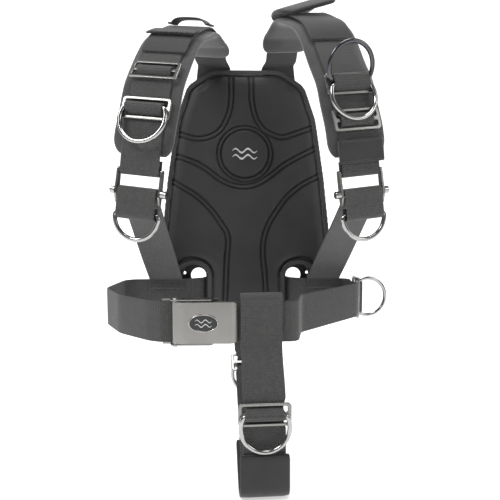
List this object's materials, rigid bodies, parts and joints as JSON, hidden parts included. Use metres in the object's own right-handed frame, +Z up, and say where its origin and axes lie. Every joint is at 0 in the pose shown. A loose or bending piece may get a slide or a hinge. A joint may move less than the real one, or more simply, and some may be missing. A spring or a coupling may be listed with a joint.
{
  "type": "diving backplate harness",
  "caption": "Padded diving backplate with webbing shoulder straps, quick releases, waist belt with hinged buckle, crotch strap and metal D-rings.",
  "frame": {"origin": "centre of the two tank-bolt holes, on the rear face of the backplate", "axes": "-Y to the front, where the wearer's chest is, +Y to the tank along the bolt holes, +Z up, +X to the wearer's left"},
  "size_m": [0.4113, 0.2751, 0.6133],
  "materials": {
    "black_plate": "matt black coat",
    "pad_fabric": "matt woven nylon",
    "binding_tape": "ribbed tape",
    "strap_pad_fabric": "brushed fabric",
    "neoprene": "matt neoprene",
    "elastic_band": "woven elastic",
    "webbing": "coarse woven webbing",
    "polished_steel": "polished",
    "brushed_steel": "fine satin",
    "badge_enamel": "gloss"
  },
  "bodies": {
    "harness": {"back_pad": "pad_fabric", "back_pad_binding": "binding_tape", "backplate": "black_plate", "buckle_frame": "brushed_steel", "buckle_hinge_pin": "brushed_steel", "buckle_rivets": "brushed_steel", "crotch_front_slide": "brushed_steel", "crotch_pad": "neoprene", "crotch_rear_slide": "brushed_steel", "crotch_strap": "webbing", "left_belt_tail_slide": "brushed_steel", "left_chest_band": "elastic_band", "left_lower_slide": "brushed_steel", "left_lower_strap": "webbing", "left_ring_slide": "brushed_steel", "left_shoulder_flap": "neoprene", "left_shoulder_pad": "strap_pad_fabric", "left_shoulder_sleeve": "neoprene", "left_shoulder_webbing": "webbing", "left_strap_tail": "webbing", "left_tail_slide": "brushed_steel", "left_waist_belt": "webbing", "pad_screws": "brushed_steel", "right_belt_tail_slide": "brushed_steel", "right_hose_band": "elastic_band", "right_hose_loop": "neoprene", "right_lower_strap": "webbing", "right_ring_slide": "brushed_steel", "right_shoulder_pad": "strap_pad_fabric", "right_shoulder_sleeve": "neoprene", "right_shoulder_webbing": "webbing", "right_strap_tail": "webbing", "right_tail_slide": "brushed_steel", "right_upper_slide": "brushed_steel", "right_waist_belt": "webbing", "waist_ring_slide": "brushed_steel"},
    "right_chest_d_ring": {"right_chest_d_ring": "polished_steel"},
    "left_lower_chest_d_ring": {"left_lower_chest_d_ring": "polished_steel"},
    "left_upper_chest_d_ring": {"left_upper_chest_d_ring": "polished_steel"},
    "waist_d_ring": {"waist_d_ring": "polished_steel"},
    "crotch_front_d_ring": {"crotch_front_d_ring": "polished_steel"},
    "crotch_rear_d_ring": {"crotch_rear_d_ring": "polished_steel"},
    "right_pull_d_ring": {"right_pull_d_ring": "polished_steel"},
    "left_pull_d_ring": {"left_pull_d_ring": "polished_steel"},
    "right_release_frame": {"right_release_frame": "brushed_steel"},
    "right_roller_bar": {"right_roller_bar": "brushed_steel"},
    "left_release_frame": {"left_release_frame": "brushed_steel"},
    "left_roller_bar": {"left_roller_bar": "brushed_steel"},
    "buckle_lever": {"buckle_lever": "brushed_steel", "buckle_badge": "badge_enamel"}
  },
  "joints": [
    {"name": "right_chest_d_ring_swing", "type": "hinge", "parent": "harness", "child": "right_chest_d_ring", "pos_m": [-0.12394, -0.21707, 0.09743], "axis": [-0.955, 0.2749, 0.1115], "range_deg": [0, 165]},
    {"name": "left_lower_chest_d_ring_swing", "type": "hinge", "parent": "harness", "child": "left_lower_chest_d_ring", "pos_m": [0.11903, -0.21151, 0.12581], "axis": [-0.955, -0.2749, -0.1115], "range_deg": [0, 80]},
    {"name": "left_upper_chest_d_ring_swing", "type": "hinge", "parent": "harness", "child": "left_upper_chest_d_ring", "pos_m": [0.11781, -0.2101, 0.13277], "axis": [-0.955, -0.2749, -0.1115], "range_deg": [-65, 15]},
    {"name": "waist_d_ring_swing", "type": "hinge", "parent": "harness", "child": "waist_d_ring", "pos_m": [0.17036, -0.04873, -0.156], "axis": [0, 0, 1], "range_deg": [-80, 80]},
    {"name": "crotch_front_d_ring_swing", "type": "hinge", "parent": "harness", "child": "crotch_front_d_ring", "pos_m": [0.01469, -0.26282, -0.25594], "axis": [-0.9984, -0.0558, 0], "range_deg": [0, 165]},
    {"name": "crotch_rear_d_ring_swing", "type": "hinge", "parent": "harness", "child": "crotch_rear_d_ring", "pos_m": [0.00633, -0.11323, -0.23902], "axis": [-0.9984, -0.0558, 0], "range_deg": [-110, 30]},
    {"name": "right_pull_d_ring_swing", "type": "hinge", "parent": "harness", "child": "right_pull_d_ring", "pos_m": [-0.13617, -0.20922, -0.0267], "axis": [-0.955, 0.2749, 0.1115], "range_deg": [-20, 100]},
    {"name": "left_pull_d_ring_swing", "type": "hinge", "parent": "harness", "child": "left_pull_d_ring", "pos_m": [0.13617, -0.20922, -0.0267], "axis": [-0.955, -0.2749, -0.1115], "range_deg": [-20, 100]},
    {"name": "right_release_frame_swing", "type": "hinge", "parent": "harness", "child": "right_release_frame", "pos_m": [-0.13053, -0.21, 0.02349], "axis": [-0.955, 0.2749, 0.1115], "range_deg": [0, 70]},
    {"name": "right_roller_bar_spin", "type": "hinge", "parent": "harness", "child": "right_roller_bar", "pos_m": [-0.13358, -0.21069, -0.00096], "axis": [0.955, -0.2749, -0.1115], "continuous": true},
    {"name": "left_release_frame_swing", "type": "hinge", "parent": "harness", "child": "left_release_frame", "pos_m": [0.13053, -0.21, 0.02349], "axis": [-0.955, -0.2749, -0.1115], "range_deg": [0, 70]},
    {"name": "left_roller_bar_spin", "type": "hinge", "parent": "harness", "child": "left_roller_bar", "pos_m": [0.13358, -0.21069, -0.00096], "axis": [0.955, 0.2749, 0.1115], "continuous": true},
    {"name": "buckle_lever_hinge", "type": "hinge", "parent": "harness", "child": "buckle_lever", "pos_m": [-0.091, -0.2199, -0.156], "axis": [0, 0, -1], "range_deg": [0, 150]}
  ]
}
